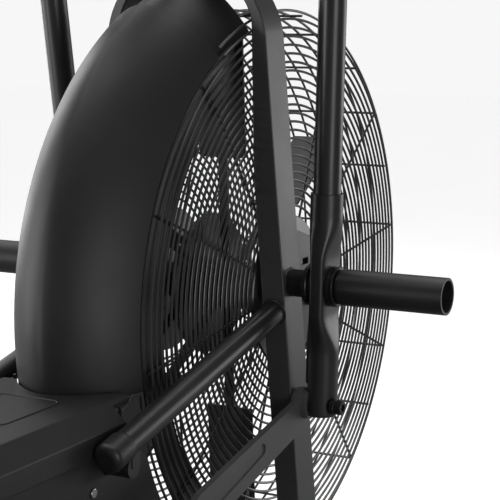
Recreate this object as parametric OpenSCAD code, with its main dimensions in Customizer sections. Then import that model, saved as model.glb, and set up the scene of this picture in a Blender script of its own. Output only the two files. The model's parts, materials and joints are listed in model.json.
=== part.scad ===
// Air bike: a fan-braked exercise bike with moving arms, pedals and fixed foot pegs.
// Millimetres. +X is forward, +Y is left and +Z is up. The origin is on the floor,
// under the middle of the length and on the centre plane.

/* [Fan cage] */
// Distance of the fan axle in front of the origin
wheel_x = 315; // [310:1:316]
// Height of the fan axle above the floor
wheel_z = 460; // [455:1:465]
// Radius of the outermost ring of wire, to the wire's centre
cage_r = 338.4; // [336:0.2:339]
// Distance of each flat wire face from the centre plane
cage_half_w = 86.4; // [86:0.2:86.8]
// Thickness of a cage wire
wire_d = 3.2; // [2.8:0.1:3.4]
// Step from one ring of wire to the next
ring_pitch = 10.2; // [10:0.1:10.4]
// Number of rings on each face
ring_count = 24; // [20:1:24]
// Number of spokes that carry the rings on each face
spoke_count = 12; // [8:1:16]

/* [Shroud] */
// Radius of the top of the crown
shroud_r = 394; // [390:1:398]
// Half of the width at the side lips
shroud_half_w = 80; // [78:1:81]
// Angle of the front edge, behind the fork
shroud_front_a = 119; // [112:1:121]
// Angle of the lower end, behind the axle
shroud_rear_a = 190; // [186:1:191]
// Thickness of the moulded wall
shroud_t = 3; // [2.5:0.1:4]

/* [Fan] */
// Number of flat paddles
paddle_count = 6; // [5:1:8]
// Axial width of a paddle
paddle_w = 64; // [40:1:70]
// Radius of a paddle's inner edge
paddle_r_in = 160; // [140:1:180]
// Radius of a paddle's outer edge
paddle_r_out = 305; // [280:1:310]
// Radius of the hub disc
hub_disc_r = 88; // [70:1:95]

/* [Frame] */
// Width of a fork leg, front to back
leg_depth = 46; // [42:1:48]
// Rearward lean of the fork, in degrees
fork_lean = 1.86; // [1.5:0.1:2.2]
// Length of the front stabilizer
front_bar_len = 560; // [500:10:600]
// Length of the rear stabilizer
rear_bar_len = 500; // [440:10:560]
// Radius of a side tube
side_tube_r = 14; // [12:1:15]
// Outer radius of a foot peg
peg_r = 21.15; // [20:0.05:22]
// Length of a foot peg
peg_len = 126; // [100:1:126]

/* [Drive] */
// Distance of the crank axle behind the fan axle
crank_back = 500; // [498:1:502]
// Distance of the crank axle below the fan axle
crank_drop = 204; // [202:1:206]
// Length of a pedal crank
crank_len = 170; // [160:1:175]
// Distance of a rod journal from the crank axle
journal_throw = 34; // [34:1:34]
// Radius of the crank pulley
crank_pulley_r = 88; // [88:1:88]
// Radius of the fan pulley
fan_pulley_r = 22; // [22:1:22]

/* [Arms] */
// Outer radius of an arm's upper tube
arm_tube_r = 16; // [15:0.5:16]
// Outer radius of the sleeve around the arm's foot
arm_sleeve_r = 19; // [18:0.5:19]
// Length of a hand grip
grip_len = 170; // [120:5:175]
// Outward splay of an arm, in degrees
arm_splay = 1.8; // [1:0.1:2]
// Lean of the right arm at rest, in degrees, top to the rear
right_arm_lean = 1.05; // [1.05:0.05:1.05]
// Lean of the left arm at rest, in degrees, top to the rear
left_arm_lean = 6.55; // [6.55:0.05:6.55]

/* [Seat] */
// Rearward lean of the seat tube, in degrees
seat_lean = 10; // [9:0.5:11]
// Width of the saddle at the back
saddle_w = 236; // [200:2:250]
// Length of the saddle
saddle_len = 270; // [250:2:280]

/* [Hidden] */
$fn = 64;
cut = 1;                                   // how far a cutting tool runs past a face

wire_r = wire_d / 2;
wire_sides = 8;                            // sides of a cage ring's wire, few because there are many rings
tube_wall = 3;
running_fit = 0.05;

// Floor-level steel
bar_low = 30;                              // underside of the two stabilizers
bar_high = 80;                             // top of the stabilizers and the beam
front_bar_x = 260;
front_bar_depth = 60;
rear_bar_x = -623.5;
rear_bar_depth = 60;
beam_half_w = 40;
beam_low = 42;

// Fork, in the frame of the fan axle
leg_x = -67.3;                             // middle of a leg at axle height
leg_face_y = 127.1;                        // outer face of a leg at axle height
leg_slope = 0.065;                         // how fast the outer face moves out going down
leg_t = 29;
leg_top = 300;
leg_bottom = bar_high - wheel_z;
relief_y = cage_half_w + wire_r + 0.5;     // flat that clears the cage's side face
arch_centre = leg_top + 22;
arch_rise_out = 104;
arch_rise_in = 66;
fork_top = 404;                            // top of the arch along the fork's own line

// Foot peg and arm pivot, in the frame of the fan axle
pivot_x = -70;
pivot_z = 23.1;
peg_shaft_r = 12;
peg_face_y = 193;
arm_y = 168.5;                             // middle of the arm at the pivot
arm_flat_t = 20;
arm_flat_w = 58;
pin_down = 141.1;                          // from the pivot down to the rod pin
pin_back = 6;                              // and back, on the right arm at rest
rod_pin_r = 6;
rod_low_y = 140;                           // the rod plate lies between these two planes
rod_high_y = 148;
rod_len = norm([crank_back - 76, crank_drop + journal_throw - 118]);
right_rod_a = 15.8;                        // slope of the right rod, down to the rear
left_rod_a = 6.77;

// Crank, in the frame of the crank axle
crank_axle_r = 13;
pedal_y = 225;
spindle_r = 8;
belt_y0 = 58;
belt_y1 = 70;

// Housing, in the frame of the fan axle
house_rear = -604;
house_front = -340;
cover_top = -53;
cover_bevel_z = -74;
cover_low = -97;
cover_half_w = 96;
panel_y = 84;
panel_t = 4;
panel_low = -330;

// Seat
seat_foot_x = -330;
seat_tube_len = 560;
post_low = 200;
post_high = 730;

// Console
mast_lean = 11;
mast_len = 215;
console_tilt = 38;

function lip_radius(t) = 271 + (shroud_r - 271) * pow(sin(t), 1.23);
function lip_width(t) = shroud_half_w / 0.816 * pow(cos(t), 1.23);

// ---------- placing helpers ----------
module at_wheel() { translate([wheel_x, 0, wheel_z]) children(); }
module at_crank() { translate([wheel_x - crank_back, 0, wheel_z - crank_drop]) children(); }
module at_pivot() { translate([wheel_x + pivot_x, 0, wheel_z + pivot_z]) children(); }
module lean_back(a) { rotate([0, -a, 0]) children(); }
module left_of() { mirror([0, 1, 0]) children(); }
module both_sides() { children(); left_of() children(); }
module at_seat(s) {
    translate([seat_foot_x, 0, bar_high]) lean_back(seat_lean) translate([0, 0, s]) children();
}
// A flat outline in the XZ plane, made solid from y0 to y1
module along_y(y0, y1) { translate([0, y1, 0]) rotate([90, 0, 0]) linear_extrude(y1 - y0) children(); }
// A flat outline in the YZ plane, made solid from x0 to x1
module along_x(x0, x1) { translate([x0, 0, 0]) rotate([90, 0, 90]) linear_extrude(x1 - x0) children(); }
module pin_y(r, y0, y1) { translate([0, y1, 0]) rotate([90, 0, 0]) cylinder(r = r, h = y1 - y0); }
module ring_y(r_out, r_in, y0, y1) {
    difference() { pin_y(r_out, y0, y1); pin_y(r_in, y0 - cut, y1 + cut); }
}
module hoop(r, y) {
    translate([0, y, 0]) rotate([90, 0, 0])
        rotate_extrude($fn = 120) translate([r, 0]) circle(wire_r, $fn = wire_sides);
}
// Part of a hoop, from angle a0 round to a1, measured upwards from straight ahead
module hoop_arc(r, y, a0, a1) {
    translate([0, y, 0]) rotate([90, 0, 0]) rotate([0, 0, a0])
        rotate_extrude(angle = a1 - a0, $fn = 120) translate([r, 0]) circle(wire_r, $fn = wire_sides);
}
module box_tube(x, y, z, wall) {
    difference() {
        translate([-x / 2, -y / 2, 0]) cube([x, y, z]);
        translate([-x / 2 + wall, -y / 2 + wall, -cut]) cube([x - 2 * wall, y - 2 * wall, z + 2 * cut]);
    }
}
module rod_between(p, q, r) {
    d = q - p;
    translate(p) rotate([0, acos(d[2] / norm(d)), atan2(d[1], d[0])]) cylinder(r = r, h = norm(d));
}

// ---------- base ----------
module main_beam() {
    x0 = rear_bar_x + rear_bar_depth / 2;
    x1 = front_bar_x - front_bar_depth / 2;
    color("#26272a") along_x(x0, x1) difference() {
        translate([-beam_half_w, beam_low]) square([2 * beam_half_w, bar_high - beam_low]);
        translate([-beam_half_w + tube_wall, beam_low + tube_wall])
            square([2 * beam_half_w - 2 * tube_wall, bar_high - beam_low - 2 * tube_wall]);
    }
}
module stabilizer(x, depth, len) {
    color("#26272a") translate([x, 0, 0]) along_y(-len / 2, len / 2) difference() {
        translate([-depth / 2, bar_low]) square([depth, bar_high - bar_low]);
        translate([-depth / 2 + tube_wall, bar_low + tube_wall])
            square([depth - 2 * tube_wall, bar_high - bar_low - 2 * tube_wall]);
    }
}
module front_stabilizer() { stabilizer(front_bar_x, front_bar_depth, front_bar_len); }
module rear_stabilizer() { stabilizer(rear_bar_x, rear_bar_depth, rear_bar_len); }

// Plastic caps on the stabilizers and on the two side tubes
module bar_cap(x, depth, y) {
    translate([x, 0, 0]) along_y(y, y + 12) translate([-depth / 2 - 1.5, bar_low - 1.5])
        square([depth + 3, bar_high - bar_low + 3]);
}
cap_r = side_tube_r + 2;
module tube_end_caps() {
    color("#161617") both_sides() {
        bar_cap(front_bar_x, front_bar_depth, -front_bar_len / 2 - 12);
        bar_cap(rear_bar_x, rear_bar_depth, -rear_bar_len / 2 - 12);
        at_wheel() translate(side_tube_end) side_tube_pose() {
            rotate_extrude() polygon(concat([[0, 0], [cap_r, 0]],
                [for (a = [0:15:90]) [cap_r - 8 + 8 * cos(a), 26 + 8 * sin(a)]], [[0, 34]]));
        }
    }
}
module levelling_feet() {
    color("#161617") for (foot = [[front_bar_x, 240], [rear_bar_x, 210]]) both_sides()
        translate([foot[0], -foot[1], 0]) { cylinder(r = 24, h = 10); cylinder(r = 6, h = bar_low); }
}
wheel_spot = [front_bar_x + 64, 236, 36];
wheel_r = 32;
module wheel_brackets() {
    color("#26272a") both_sides() {
        for (y = [-wheel_spot[1] - 15, -wheel_spot[1] + 11]) along_y(y, y + 4)
            polygon([[front_bar_x + 30, 34], [wheel_spot[0] + 8, 26], [wheel_spot[0] + 12, 44],
                     [front_bar_x + 30, 78]]);
        translate([wheel_spot[0], 0, wheel_spot[2]]) pin_y(4.95, -wheel_spot[1] - 11, -wheel_spot[1] + 11);
    }
}
module transport_wheel() {
    color("#161617") translate([wheel_spot[0], 0, wheel_spot[2]])
        ring_y(wheel_r, 5, -wheel_spot[1] - 10.6, -wheel_spot[1] + 10.6);
}
module right_transport_wheel() { transport_wheel(); }
module left_transport_wheel() { left_of() transport_wheel(); }

// ---------- fork ----------
// Straight tube that swings out downwards; its inner wall turns upright beside the cage
module leg_outline(inset) {
    face_top = leg_face_y - leg_slope * leg_top - inset;
    face_low = leg_face_y - leg_slope * leg_bottom - inset;
    relief_z = (leg_face_y - leg_t - relief_y) / leg_slope;
    polygon([[-face_low, leg_bottom + 2 - inset], [-face_low + leg_t - 2 * inset, leg_bottom + 2 - inset],
             [-relief_y - inset, relief_z], [-relief_y - inset, leg_top + inset],
             [-face_top, leg_top + inset]]);
}
// Right half of the arch that joins the two legs over the wheel
module arch_outline() {
    half_out = leg_face_y - leg_slope * leg_top;
    steps = 16;
    outer = [for (i = [0:steps]) let (a = 90 * i / steps)
        [-half_out * cos(a), leg_top + arch_rise_out * sin(a)]];
    inner = [for (i = [0:steps]) let (a = 90 - 90 * i / steps)
        [-relief_y * cos(a), arch_centre + arch_rise_in * sin(a)]];
    polygon(concat(outer, inner, [[-relief_y, leg_top]]));
}
leg_rear = leg_x - leg_depth / 2;
leg_front = leg_x + leg_depth / 2;
module leg() {
    color("#3c3d40") at_wheel() lean_back(fork_lean) {
        difference() {
            along_x(leg_rear, leg_front) leg_outline(0);
            along_x(leg_rear + tube_wall, leg_front - tube_wall) leg_outline(tube_wall);
        }
        along_x(leg_rear, leg_front) arch_outline();
    }
}
module right_leg() { leg(); }
module left_leg() { left_of() leg(); }
module hub_plates() {
    color("#3c3d40") at_wheel() both_sides() difference() {
        along_y(-118, -110) polygon([[-50, 84], [-4, 70], [30, 30], [34, 0], [24, -30], [-12, -58],
                                     [-50, -70]]);
        pin_y(10 + running_fit, -120, -108);
        along_y(-120, -108) translate([-26, 37]) square([16, 7]);
    }
}

// ---------- side tubes, braces and housing frame ----------
side_tube_start = [-86, -113, -9];
side_tube_end = [-412, -113, -87];
module side_tube_pose() {
    d = side_tube_end - side_tube_start;
    rotate([0, -acos(d[2] / norm(d)), 0]) children();
}
module side_tubes() {
    color("#2a2b2d") at_wheel() both_sides() {
        rod_between(side_tube_start, side_tube_end, side_tube_r);
    }
}
brace_x = -402;
brace_z = -112;
module cross_brace() {
    post_x = -crank_back;
    color("#26272a") at_wheel() {
        translate([brace_x, 0, brace_z]) pin_y(11, -118, 118);
        both_sides() along_y(-119, -109) translate([brace_x - 4, brace_z]) square([14, 24]);
        rod_between([brace_x - 9, 0, brace_z - 8], [post_x + 24, 0, -crank_drop + 14], 10);
    }
}
module crank_post() {
    color("#26272a") at_crank() difference() {
        union() {
            translate([-26, -28, bar_high - (wheel_z - crank_drop)])
                cube([52, 56, wheel_z - crank_drop - bar_high]);
            pin_y(30, -50, 50);
        }
        pin_y(24, -51, 51);
    }
}
module crank_bearings() {
    color("silver") at_crank() both_sides() ring_y(24, crank_axle_r + running_fit, -48, -36);
}

// ---------- fan cage ----------
open_from = shroud_rear_a - 360;
open_to = shroud_front_a;
flange_a = 104;                            // where the shroud's recessed front flange begins
module grille() {
    spoke_y = -(cage_half_w - wire_d - 0.2);
    color("#1b1b1c") at_wheel() {
        difference() {
            pin_y(92, -cage_half_w, -cage_half_w + 4);
            pin_y(12, -cage_half_w - cut, -cage_half_w + 4 + cut);
        }
        for (i = [0:spoke_count - 1]) let (a = 360 * i / spoke_count + 7,
                                          covered = a > flange_a && a < shroud_rear_a)
            rotate([0, -a, 0]) translate([86, spoke_y, 0]) rotate([0, 90, 0])
                cylinder(r = wire_r, h = (covered ? 319 : cage_r) - 86, $fn = 16);
        hoop_arc(cage_r, -82.4, open_from, open_to);
    }
}
module grille_rings() {
    color("#2c2c2e") at_wheel() {
        hoop_arc(cage_r - ring_pitch, -cage_half_w, open_from, open_to);
        for (i = [2:ring_count - 1]) hoop(cage_r - i * ring_pitch, -cage_half_w);
    }
}
module right_grille() { grille(); }
module left_grille() { left_of() grille(); }
module right_grille_rings() { grille_rings(); }
module left_grille_rings() { left_of() grille_rings(); }
hoop_ys = [54, 32, 11];
bar_ring_r = cage_r - wire_d - 0.2;
module rim_bars() {
    color("#1b1b1c") at_wheel() for (i = [0:23]) let (a = 15 * i + 7)
        if (a < 187 || a > 217)
            rotate([0, -a, 0]) translate([bar_ring_r, 0, 0])
                pin_y(wire_r, (a > flange_a && a < 215) ? -62 : -80.5, (a > flange_a && a < 215) ? 62 : 80.5);
}
module rim_hoops() {
    color("#1b1b1c") at_wheel() for (y = hoop_ys) { hoop(cage_r, y); hoop(cage_r, -y); }
}

// ---------- shroud ----------
module shroud_band(inset, a0, a1) {
    first = 32;
    steps = 24;
    outer = [for (i = [0:steps])
        let (t = first + (180 - 2 * first) * i / steps, side = t < 90 ? 1 : -1, u = min(t, 180 - t))
        [lip_radius(u) - inset, side * lip_width(u) * (1 - inset / shroud_half_w)]];
    inner = [for (i = [steps:-1:0])
        let (t = first + (180 - 2 * first) * i / steps, side = t < 90 ? 1 : -1, u = min(t, 180 - t))
        [lip_radius(u) - inset - shroud_t * sin(t),
         side * lip_width(u) * (1 - (inset + shroud_t) / shroud_half_w)]];
    rotate([90, 0, 0]) rotate([0, 0, a0]) rotate_extrude(angle = a1 - a0, $fn = 120)
        polygon(concat(outer, inner));
}
module shroud() {
    color("#1d1d1f") at_wheel() {
        shroud_band(0, shroud_front_a, shroud_rear_a);
        shroud_band(5, flange_a, shroud_front_a + 2);
    }
}

// Flat shields behind the rings that carry on from the shroud's lips
module cage_shields() {
    color("#1d1d1f") at_wheel() both_sides() translate([0, -78, 0]) rotate([90, 0, 0])
        rotate([0, 0, flange_a + 9]) rotate_extrude(angle = 123, $fn = 120)
            translate([282, 0]) square([44, 2]);
}

// Everything inside the shroud's outer skin, with a little room to spare
module shroud_space() {
    steps = 24;
    room = 1.2;
    skin = [for (i = [0:steps]) let (t = 180 * i / steps, side = t < 90 ? 1 : -1, u = min(t, 180 - t))
        [lip_radius(u) + room, side * (min(lip_width(u), shroud_half_w) + room)]];
    rotate([90, 0, 0]) rotate_extrude($fn = 120)
        polygon(concat([[0, shroud_half_w + room]], skin, [[0, -shroud_half_w - room]]));
}

// ---------- fan ----------
fan_phase = 93;
module fan_hub() {
    color("#333436") at_wheel() {
        difference() {
            union() {
                pin_y(30, -40, 56);
                pin_y(hub_disc_r, 20, 26);
                for (i = [0:paddle_count - 1]) rotate([0, -fan_phase - 360 * i / paddle_count, 0])
                    translate([26, -6, -2]) cube([paddle_r_in - 26, 12, 4]);
            }
            pin_y(20, -41, 57);
        }
    }
}
module fan_paddles() {
    color("#3a3b3d") at_wheel() for (i = [0:paddle_count - 1])
        rotate([0, -fan_phase - 360 * i / paddle_count, 0])
            translate([paddle_r_in, -paddle_w / 2, -2]) cube([paddle_r_out - paddle_r_in, paddle_w, 4]);
}
module fan_bearings() {
    color("silver") at_wheel() both_sides() ring_y(20, 10 + running_fit, -38, -26);
}
module fan_pulley() {
    color("#555659") at_wheel() {
        ring_y(fan_pulley_r, 14, belt_y0 - 1, belt_y1 + 1);
        ring_y(26, 14, belt_y1 + 1, belt_y1 + 3);
        ring_y(29, 14, 56, belt_y0 - 1);
    }
}
module fan_axle() { color("silver") at_wheel() pin_y(10, -132, 132); }
module axle_nuts() {
    color("silver") at_wheel() both_sides() difference() {
        translate([0, -118, 0]) rotate([90, 0, 0]) cylinder(r = 17, h = 11, $fn = 6);
        pin_y(10 + running_fit, -131, -117);
    }
}

// ---------- belt and pulley ----------
belt_gap = 0.4;
belt_t = 3;
belt_a = atan2(crank_drop, crank_back);
belt_span = norm([crank_back, crank_drop]);
// Outline round both pulleys, with the fan axle at 0 and the crank axle on -X
module belt_outline(grow) {
    lift = asin((crank_pulley_r - fan_pulley_r) / belt_span);
    r0 = fan_pulley_r + grow;
    r1 = crank_pulley_r + grow;
    steps = 36;
    polygon(concat(
        [for (i = [0:steps]) let (a = lift - 90 + (180 - 2 * lift) * i / steps)
            [r0 * cos(a), r0 * sin(a)]],
        [for (i = [0:steps]) let (a = 90 - lift + (180 + 2 * lift) * i / steps)
            [-belt_span + r1 * cos(a), r1 * sin(a)]]));
}
module drive_belt() {
    color("#121213") at_wheel() rotate([0, -belt_a, 0]) along_y(belt_y0 + 0.5, belt_y1 - 0.5) difference() {
        belt_outline(belt_gap + belt_t);
        belt_outline(belt_gap);
    }
}
module crank_pulley() {
    color("#3a3b3d") at_crank() difference() {
        union() {
            pin_y(crank_pulley_r, belt_y0 - 1, belt_y1 + 1);
            pin_y(28, 52, 76);
        }
        pin_y(crank_axle_r, 51, 77);
        for (a = [0:60:300]) rotate([0, a, 0]) translate([56, 0, 0]) pin_y(16, belt_y0 - 2, belt_y1 + 2);
    }
}

// ---------- housing ----------
module top_cover() {
    flat_y = cover_half_w - 18;
    inner_y = cover_half_w - 4;
    color("#1c1c1d") at_wheel() difference() {
        along_x(house_rear, house_front - 12)
            polygon([[-cover_half_w, cover_low], [-cover_half_w, cover_bevel_z], [-flat_y, cover_top],
                     [flat_y, cover_top], [cover_half_w, cover_bevel_z], [cover_half_w, cover_low]]);
        along_x(house_rear + 4, house_front)
            polygon([[-inner_y, cover_low - cut], [-inner_y, cover_bevel_z - 2], [-flat_y + 2, cover_top - 4],
                     [flat_y - 2, cover_top - 4], [inner_y, cover_bevel_z - 2], [inner_y, cover_low - cut]]);
        shroud_space();
        pin_y(344, -cover_half_w - cut, cover_half_w + cut);
        both_sides() pin_y(388, -cover_half_w - cut, -shroud_half_w - 1);
    }
}
module side_panels() {
    color("#232324") at_wheel() both_sides() difference() {
        along_y(-panel_y - panel_t, -panel_y)
            polygon([[house_rear, cover_low - 0.5], [house_front - 20, cover_low - 0.5], [-250, -200],
                     [-250, panel_low], [house_rear + 20, panel_low], [house_rear, panel_low + 20]]);
        pin_y(352, -panel_y - 6, -panel_y + 2);
        translate([-crank_back, 0, -crank_drop]) pin_y(20, -panel_y - 6, -panel_y + 2);
        translate([brace_x, 0, brace_z]) pin_y(12, -panel_y - 6, -panel_y + 2);
    }
}
module rear_panel() {
    color("#232324") at_wheel() along_x(house_rear, house_rear + 4)
        translate([-panel_y + 0.3, panel_low + 20]) square([2 * panel_y - 0.6, cover_low - panel_low - 21]);
}
module housing_screws() {
    spots = [[-590, -115], [-430, -135], [-590, -290], [-330, -310]];
    color("silver") at_wheel() both_sides() for (p = spots)
        translate([p[0], 0, p[1]]) pin_y(5, -panel_y - panel_t - 2, -panel_y - panel_t);
}

// ---------- foot pegs ----------
module peg_axles() {
    color("#1d1d1f") at_pivot() both_sides() {
        pin_y(16, -148, -122);
        pin_y(peg_shaft_r, -peg_face_y, -147);
        pin_y(20, -peg_face_y, -188.6);
    }
}
module foot_pegs() {
    color("#1a1a1b") at_pivot() both_sides() difference() {
        union() {
            ring_y(peg_r, peg_r - 3, -peg_face_y - peg_len, -peg_face_y);
            pin_y(peg_r, -peg_face_y - 8, -peg_face_y);
        }
        translate([0, -peg_face_y - peg_len + 22, -peg_r]) cylinder(r = 3, h = 12, center = true, $fn = 24);
    }
}

// ---------- arms ----------
sleeve_top = 131 - pivot_z;
arm_bend_z = 560;
arm_bend_r = 80;
arm_bend_a = 65;
grip_start = 16;
module arm_upper(r, s0, s1) {
    translate([-arm_bend_r, 0, arm_bend_z]) rotate([0, -arm_bend_a, 0]) translate([arm_bend_r, 0, s0])
        cylinder(r = r, h = s1 - s0);
}
// The arm's lower half flattens to a plate round the pivot and is round again at its foot
module arm_shape() {
    translate([0, 0, sleeve_top - 1]) cylinder(r = arm_tube_r, h = arm_bend_z - sleeve_top + 1);
    translate([-arm_bend_r, 0, arm_bend_z]) rotate([90, 0, 0])
        rotate_extrude(angle = arm_bend_a) translate([arm_bend_r, 0]) circle(arm_tube_r);
    arm_upper(arm_tube_r, 0, grip_start + grip_len + 4);
    translate([0, 0, 78]) cylinder(r = arm_sleeve_r, h = sleeve_top - 78);
    hull() {
        translate([0, 0, 77]) cylinder(r = arm_sleeve_r, h = 2, $fn = 32);
        translate([-arm_flat_w / 2 + 4, -arm_flat_t / 2, 34]) cube([arm_flat_w - 8, arm_flat_t, 2]);
    }
    translate([-arm_flat_w / 2 + 4, -arm_flat_t / 2, -34]) cube([arm_flat_w - 8, arm_flat_t, 69]);
    hull() {
        translate([-arm_flat_w / 2 + 4, -arm_flat_t / 2, -35]) cube([arm_flat_w - 8, arm_flat_t, 2]);
        translate([0, 0, -78]) cylinder(r = arm_sleeve_r, h = 2, $fn = 32);
    }
    translate([0, 0, -154]) cylinder(r = arm_sleeve_r, h = 77);
}
// A right arm whose top leans back by the given angle
module arm(lean) {
    turn = lean - right_arm_lean;
    color("#2e2f31") at_pivot() difference() {
        union() {
            translate([0, -arm_y, 0]) lean_back(lean) rotate([arm_splay, 0, 0]) arm_shape();
            pin_y(24, -155, -148.5);
            pin_y(23.5, -188, -156);
        }
        pin_y(peg_shaft_r + running_fit, -260, -100);
        lean_back(turn) translate([-60, -157, -180]) cube([120, 40, 64]);
        lean_back(turn) translate([-pin_back, 0, -pin_down]) pin_y(rod_pin_r, -230, -120);
    }
    color("#111112") at_pivot() lean_back(turn) translate([-pin_back, 0, -pin_down]) {
        pin_y(rod_pin_r, -186, -138);
        ring_y(8.5, 3, -196, -186);
        pin_y(9.5, -187, -182);
    }
}
module right_arm() { arm(right_arm_lean); }
module left_arm() { left_of() arm(left_arm_lean); }
module grip(lean) {
    color("#151516") at_pivot() translate([0, -arm_y, 0]) lean_back(lean) rotate([arm_splay, 0, 0])
        difference() {
            arm_upper(20, grip_start, grip_start + grip_len + 12);
            arm_upper(arm_tube_r, grip_start - cut, grip_start + grip_len + 4);
        }
}
module right_grip() { grip(right_arm_lean); }
module left_grip() { left_of() grip(left_arm_lean); }

// ---------- connecting rods ----------
// Drawn with the arm's pin at 0 and the journal on -X, then sloped
module rod(x, z, slope) {
    color("#3c3d40") at_wheel() translate([x, 0, z]) rotate([0, -slope, 0]) difference() {
        union() {
            along_y(-rod_high_y, -rod_low_y) {
                circle(19);
                translate([-rod_len, 0]) circle(16);
                polygon([[0, 8], [-24, 12], [-245, 28], [-300, 22], [-rod_len + 80, 8], [-rod_len + 50, 4],
                         [-rod_len + 20, 6], [-rod_len, 16], [-rod_len, -16], [-rod_len + 70, -21],
                         [-200, -19], [-30, -26], [0, -19]]);
            }
            pin_y(17.5, -155.5, -136.5);
            translate([-rod_len, 0, 0]) pin_y(12, -151, -136);
        }
        pin_y(rod_pin_r + running_fit, -160, -130);
        along_y(-rod_high_y - cut, -rod_high_y + 2) hull() {
            translate([-112, 2]) circle(7);
            translate([-290, 4]) circle(7);
        }
    }
}
module right_rod() { rod(pivot_x - pin_back, pivot_z - pin_down, right_rod_a); }
left_turn = left_arm_lean - right_arm_lean;
module left_rod() {
    left_of() rod(pivot_x - pin_back * cos(left_turn) + pin_down * sin(left_turn),
                  pivot_z - pin_down * cos(left_turn) - pin_back * sin(left_turn), left_rod_a);
}

// ---------- cranks and pedals ----------
module crank_axle() { color("silver") at_crank() pin_y(crank_axle_r, -172, 172); }
// A right crank, turned by the given angle from hanging straight down
module crank_arm(turned) {
    color("#2b2c2e") at_crank() rotate([0, turned, 0]) {
        difference() {
            union() {
                pin_y(62, -159, -152);
                along_y(-170, -158) {
                    translate([-17, -crank_len]) square([34, crank_len]);
                    circle(26);
                    translate([0, -crank_len]) circle(17);
                }
            }
            pin_y(crank_axle_r, -180, -150);
        }
        ring_y(62, crank_axle_r, -134, -126);
        translate([0, 0, -crank_len]) pin_y(spindle_r, -pedal_y - 44, -169);
        translate([0, 0, -crank_len]) pin_y(spindle_r + 4, -pedal_y - 49, -pedal_y - 43);
    }
}
module right_crank() { crank_arm(0); }
module left_crank() { left_of() crank_arm(180); }
module pedal(z) {
    color("#1f1f20") at_crank() translate([0, -pedal_y, z]) difference() {
        union() {
            pin_y(15, -42, 42);
            for (y = [-42, 34]) translate([-46, y, -12]) cube([92, 8, 24]);
            for (x = [-46, 38]) translate([x, -36, -10]) cube([8, 72, 20]);
            translate([-40, -6, -9]) cube([80, 12, 18]);
        }
        pin_y(spindle_r + running_fit, -50, 50);
    }
}
module right_pedal() { pedal(-crank_len); }
module left_pedal() { left_of() pedal(crank_len); }

// ---------- seat ----------
post_x = 53;
post_y = 43;
rail_low = bar_high + post_high * cos(seat_lean) - 6;
rail_x = seat_foot_x - post_high * sin(seat_lean);
module seat_tube() {
    color("#26272a") difference() {
        at_seat(-8) box_tube(60, 50, seat_tube_len + 8, 3);
        at_seat(seat_tube_len - 60) rotate([0, 90, 0]) cylinder(r = 6, h = 60);
        translate([seat_foot_x - 100, -100, bar_high - 40]) cube([200, 200, 40]);
    }
}
module seat_bushing() {
    color("#161617") at_seat(seat_tube_len) box_tube(66, 56, 16, 6);
}
module seat_post() {
    color("#a9abad") {
        at_seat(post_low) difference() {
            box_tube(post_x, post_y, post_high - post_low, 3);
            for (i = [0:6]) translate([0, 0, 385 + 20 * i]) rotate([0, 90, 0]) cylinder(r = 4.5, h = 60);
        }
        translate([rail_x - 95, -25, rail_low + 1]) cube([190, 50, 22]);
    }
}
module post_knob() {
    color("#161617") at_seat(seat_tube_len - 60) rotate([0, 90, 0]) {
        translate([0, 0, 27.2]) cylinder(r = 5.9, h = 12);
        translate([0, 0, 32]) cylinder(r = 14, h = 10);
        translate([0, 0, 42]) cylinder(r = 21, h = 16);
    }
}
module saddle_outline(grow) {
    w = saddle_w / 2;
    nose = 34;
    steps = 48;
    polygon([for (i = [0:steps - 1])
        let (c = cos(360 * i / steps), s = sin(360 * i / steps),
             taper = sin(90 * max(-1, min(1, 1.35 * c + 0.25))),
             half = (w + nose) / 2 - (w - nose) / 2 * taper)
        [(saddle_len / 2 + grow) * c, sign(s) * pow(abs(s), 0.85) * half + grow * s]]);
}
module saddle_base() {
    color("#1b1b1c") {
        translate([rail_x - 16, 0, rail_low + 36]) linear_extrude(12) saddle_outline(0);
        difference() {
            translate([rail_x - 50, -31, rail_low + 2]) cube([100, 62, 34.5]);
            translate([rail_x - 51, -25.3, rail_low + 1]) cube([102, 50.6, 22.3]);
        }
    }
}
module saddle_cushion() {
    color("#151516") translate([rail_x - 16, 0, rail_low + 48]) hull() {
        linear_extrude(20) saddle_outline(4);
        translate([0, 0, 36]) linear_extrude(10) saddle_outline(-14);
    }
}
module saddle_knob() {
    color("#161617") translate([rail_x, -31.4, rail_low + 16]) {
        rotate([90, 0, 0]) cylinder(r = 8, h = 10);
        translate([0, -10, 0]) rotate([90, 0, 0]) cylinder(r = 20, h = 14);
    }
}

// ---------- console ----------
mast_foot = [wheel_x + leg_x - fork_top * sin(fork_lean), 0, wheel_z + fork_top * cos(fork_lean)];
module at_mast(s) { translate(mast_foot) lean_back(mast_lean) translate([0, 0, s]) children(); }
module at_console() { at_mast(mast_len) lean_back(console_tilt - mast_lean) children(); }
module console_mast() {
    color("#3c3d40") difference() {
        at_mast(-14) box_tube(40, 34, mast_len + 14, 3);
        translate([mast_foot[0] - 50, -50, mast_foot[2] - 36]) cube([100, 100, 30]);
    }
}
module console_shell() {
    color("#1b1b1c") at_console() difference() {
        translate([-22, 0, 4]) along_x(-18, 22) hull() {
            for (y = [-84, 84], z = [14, 118]) translate([y, z]) circle(14);
        }
        translate([-41, -70, 44]) cube([4, 140, 78]);
        for (y = [-40, 40]) translate([-46, y, 26]) rotate([0, 90, 0]) cylinder(r = 12.3, h = 12);
        translate([-42, -21, -20]) cube([44, 42, 22]);
    }
}
module console_screen() {
    color("#0e1418") at_console() translate([-40.5, -69.7, 44.3]) cube([3.5, 139.4, 77.4]);
}
module button(y) {
    color("#8a1c1c") at_console() translate([-43, y, 26]) rotate([0, 90, 0]) cylinder(r = 12, h = 6);
}
module start_button() { button(-40); }
module stop_button() { button(40); }

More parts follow.
